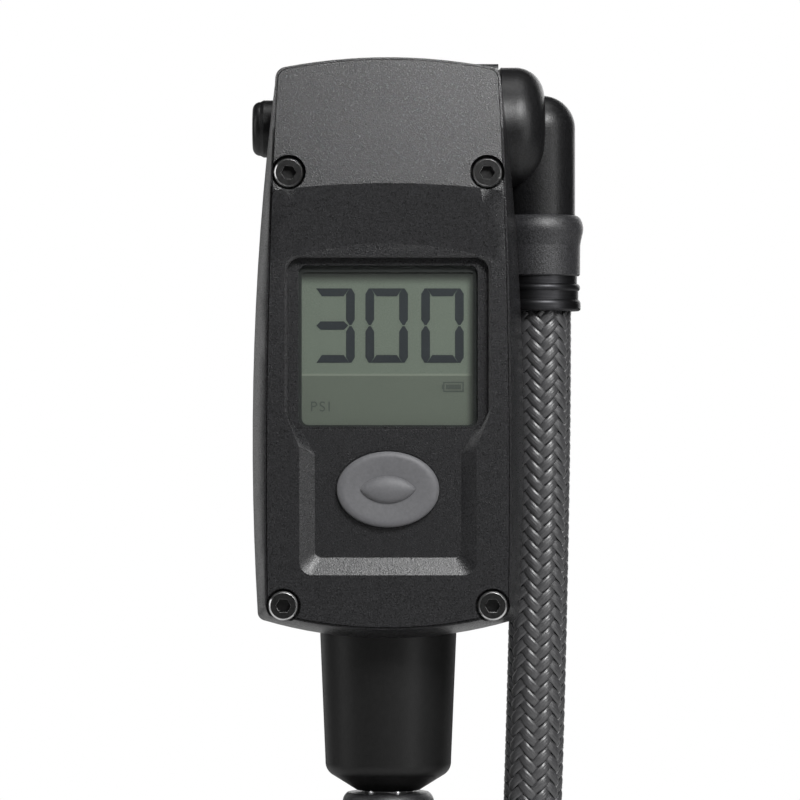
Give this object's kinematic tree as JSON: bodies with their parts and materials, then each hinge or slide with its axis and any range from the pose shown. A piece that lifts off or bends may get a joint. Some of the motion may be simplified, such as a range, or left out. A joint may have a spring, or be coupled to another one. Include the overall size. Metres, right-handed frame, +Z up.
{
  "type": "shock suspension pump",
  "caption": "Slim high-pressure hand pump with a digital pressure gauge in its head, a swivelling braided hose with a screw-on valve chuck, and a mode and a bleed button.",
  "frame": {"origin": "on the pump's axis, on the flat underside of the foot the closed pump stands on", "axes": "+Z up along the pump's axis, from foot to head; the display faces -Y; the hose hangs on the +X side"},
  "size_m": [0.0514, 0.0334, 0.1946],
  "materials": {
    "black_plastic": "fine-grained matte black moulding",
    "gloss_black": "semi-gloss black",
    "black_rubber": "soft matte black",
    "seal_rubber": "matte black",
    "grey_rubber": "matte mid grey",
    "anodised_aluminium": "dark anodised",
    "turned_aluminium": "turned",
    "plain_steel": "zinc plated",
    "black_steel": "black oxide",
    "polished_steel": "polished",
    "black_metal": "black anodised, satin",
    "brass_parts": "turned",
    "board_green": "solder mask",
    "display_glass": "grey-green reflective liquid crystal panel",
    "clear_window": "clear, glossy",
    "braided_hose": "dark grey braided yarn"
  },
  "bodies": {
    "handle": {"foot_cap": "black_rubber", "handle_tube": "anodised_aluminium", "handle_grip": "black_rubber", "handle_top": "black_plastic", "hose_dock": "black_plastic", "dock_screw": "black_steel", "piston_rod": "polished_steel", "rod_lock_nut": "plain_steel", "bumper_ring": "black_rubber", "piston": "turned_aluminium", "piston_seal": "seal_rubber", "piston_screw": "plain_steel"},
    "head": {"rear_housing": "black_plastic", "front_cover": "black_plastic", "cover_gasket": "seal_rubber", "cover_screws": "black_steel", "window_lens": "clear_window", "lcd_frame": "black_plastic", "lcd_panel": "display_glass", "contact_strips": "seal_rubber", "circuit_board": "board_green", "board_screws": "plain_steel", "coin_cell": "plain_steel", "cell_clip": "polished_steel", "button_switch": "black_plastic", "pressure_sensor": "plain_steel", "sensor_seal": "seal_rubber", "valve_block": "turned_aluminium", "block_screws": "black_steel", "pump_barrel": "turned_aluminium", "barrel_seal": "seal_rubber", "barrel_collar": "black_plastic", "rod_gland": "brass_parts", "gland_wiper": "seal_rubber", "check_seat": "brass_parts", "check_spring": "polished_steel", "bleed_sleeve": "brass_parts", "bleed_spring": "polished_steel", "swivel_spigot": "brass_parts", "spigot_seals": "seal_rubber"},
    "mode_key": {"mode_button": "grey_rubber", "switch_plunger": "black_plastic"},
    "bleed_valve": {"bleed_button": "gloss_black", "bleed_pin": "polished_steel", "bleed_o_ring": "seal_rubber"},
    "check_valve": {"check_poppet": "brass_parts"},
    "hose_arm": {"swivel_elbow": "black_plastic", "spigot_pins": "polished_steel", "hose_collar": "black_rubber", "crimp_rings": "black_metal", "hose_barb": "brass_parts", "hose": "braided_hose", "lower_ferrule": "black_metal", "chuck_body": "turned_aluminium", "chuck_gasket": "seal_rubber", "chuck_pin": "brass_parts"},
    "chuck_nut": {"chuck_sleeve": "black_metal"}
  },
  "joints": [
    {"name": "pump_stroke", "type": "slide", "parent": "handle", "child": "head", "axis": [0, 0, 1], "range_m": [0, 0.068]},
    {"name": "mode_press", "type": "slide", "parent": "head", "child": "mode_key", "axis": [0, 1, 0], "range_m": [0, 0.0005], "stiffness_N_per_m": 2000, "springref_m": -0.0005},
    {"name": "bleed_press", "type": "slide", "parent": "head", "child": "bleed_valve", "axis": [1, 0, 0], "range_m": [0, 0.0018], "stiffness_N_per_m": 1500, "springref_m": -0.001, "deforming": ["bleed_spring"]},
    {"name": "check_lift", "type": "slide", "parent": "head", "child": "check_valve", "axis": [0, 0, 1], "range_m": [0, 0.0008], "stiffness_N_per_m": 300, "springref_m": -0.001, "deforming": ["check_spring"]},
    {"name": "arm_swing", "type": "hinge", "parent": "head", "child": "hose_arm", "pos_m": [0.017, 0, 0.1847], "axis": [1, 0, 0], "range_deg": [0, 200]},
    {"name": "chuck_turn", "type": "hinge", "parent": "hose_arm", "child": "chuck_nut", "pos_m": [0.0214, 0, 0.015], "axis": [0, 0, 1], "continuous": true}
  ]
}
